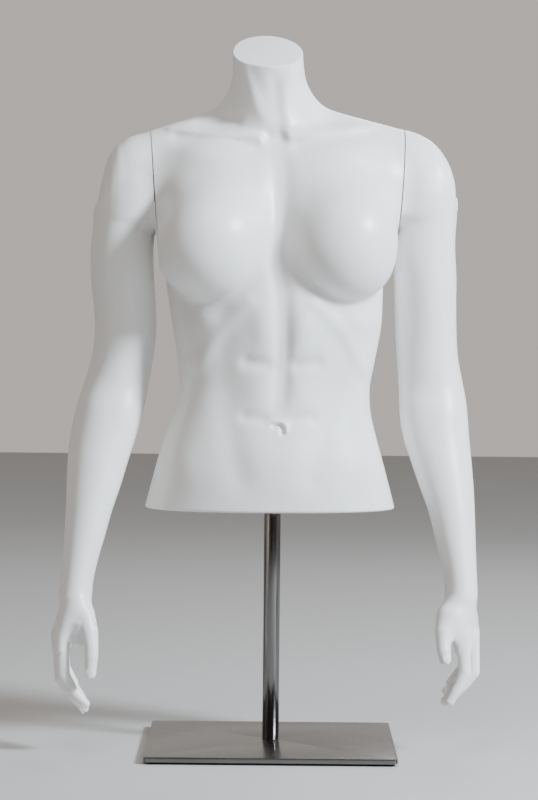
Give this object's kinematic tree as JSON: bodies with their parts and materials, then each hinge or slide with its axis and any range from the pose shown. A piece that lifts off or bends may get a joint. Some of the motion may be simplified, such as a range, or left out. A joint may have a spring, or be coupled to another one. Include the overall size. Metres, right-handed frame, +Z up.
{
  "type": "torso display mannequin",
  "caption": "Headless upper-body display mannequin with detachable arms, on a slim steel pole and a flat square base.",
  "frame": {"origin": "underside of the base at the pole's axis", "axes": "+Z up the pole, the chest faces -Y, +X towards the mannequin's own left arm"},
  "size_m": [0.5185, 0.296, 0.8555],
  "materials": {
    "lacquer": "satin white lacquer on moulded glass-fibre plastic",
    "stainless": "brushed and polished stainless steel",
    "mat": "matt foam sheet",
    "ballast": "black mill-scale steel plate",
    "plywood": "bare plywood",
    "nylon": "black nylon",
    "magnet": "nickel plate",
    "zinc_steel": "zinc-plated steel"
  },
  "bodies": {
    "stand": {"base_ballast": "ballast", "base_cover": "stainless", "base_mat": "mat", "base_stud": "zinc_steel", "pole_foot_plug": "zinc_steel", "pole_top_cap": "nylon", "pole_tube": "stainless"},
    "bush": {"socket_bush": "nylon"},
    "thumb_screw": {"thumb_screw": "zinc_steel"},
    "left_washer": {"left_shoulder_washer": "mat"},
    "right_washer": {"right_shoulder_washer": "mat"},
    "left_arm": {"left_arm_block": "plywood", "left_arm_peg": "zinc_steel", "left_arm_plate": "zinc_steel", "left_arm_screw_1": "zinc_steel", "left_arm_screw_2": "zinc_steel", "left_arm_screw_3": "zinc_steel", "left_arm_shell": "lacquer", "left_arm_stop_pin": "zinc_steel"},
    "right_arm": {"right_arm_block": "plywood", "right_arm_peg": "zinc_steel", "right_arm_plate": "zinc_steel", "right_arm_screw_1": "zinc_steel", "right_arm_screw_2": "zinc_steel", "right_arm_screw_3": "zinc_steel", "right_arm_shell": "lacquer", "right_arm_stop_pin": "zinc_steel"},
    "torso": {"hip_board": "plywood", "left_shoulder_block": "plywood", "left_shoulder_magnet": "magnet", "left_shoulder_plate": "zinc_steel", "left_shoulder_screw_1": "zinc_steel", "left_shoulder_screw_2": "zinc_steel", "left_shoulder_screw_3": "zinc_steel", "pole_socket": "zinc_steel", "right_shoulder_block": "plywood", "right_shoulder_magnet": "magnet", "right_shoulder_plate": "zinc_steel", "right_shoulder_screw_1": "zinc_steel", "right_shoulder_screw_2": "zinc_steel", "right_shoulder_screw_3": "zinc_steel", "socket_screw_1": "zinc_steel", "socket_screw_2": "zinc_steel", "socket_screw_3": "zinc_steel", "socket_screw_4": "zinc_steel", "torso_shell": "lacquer"}
  },
  "joints": [
    {"name": "torso_lift", "type": "slide", "parent": "stand", "child": "bush", "axis": [0, 0, 1], "range_m": [0, 0.15]},
    {"name": "torso_swivel", "type": "hinge", "parent": "bush", "child": "torso", "pos_m": [0, 0, 0.32], "axis": [0, 0, 1], "continuous": true},
    {"name": "clamp_turn", "type": "hinge", "parent": "torso", "child": "thumb_screw", "pos_m": [-0.00122, 0.02797, 0.299], "axis": [-0.0436, 0.999, 0], "continuous": true},
    {"name": "left_arm_pull", "type": "slide", "parent": "torso", "child": "left_washer", "axis": [0.997, 0.0435, -0.0645], "range_m": [0, 0.06]},
    {"name": "left_arm_turn", "type": "hinge", "parent": "left_washer", "child": "left_arm", "pos_m": [0.14969, 0.01955, 0.68], "axis": [-0.997, -0.0435, 0.0645], "range_deg": [0, 90]},
    {"name": "right_arm_pull", "type": "slide", "parent": "torso", "child": "right_washer", "axis": [-0.997, -0.0435, -0.0645], "range_m": [0, 0.06]},
    {"name": "right_arm_turn", "type": "hinge", "parent": "right_washer", "child": "right_arm", "pos_m": [-0.14603, 0.00664, 0.672], "axis": [-0.997, -0.0435, -0.0645], "range_deg": [0, 90]}
  ]
}
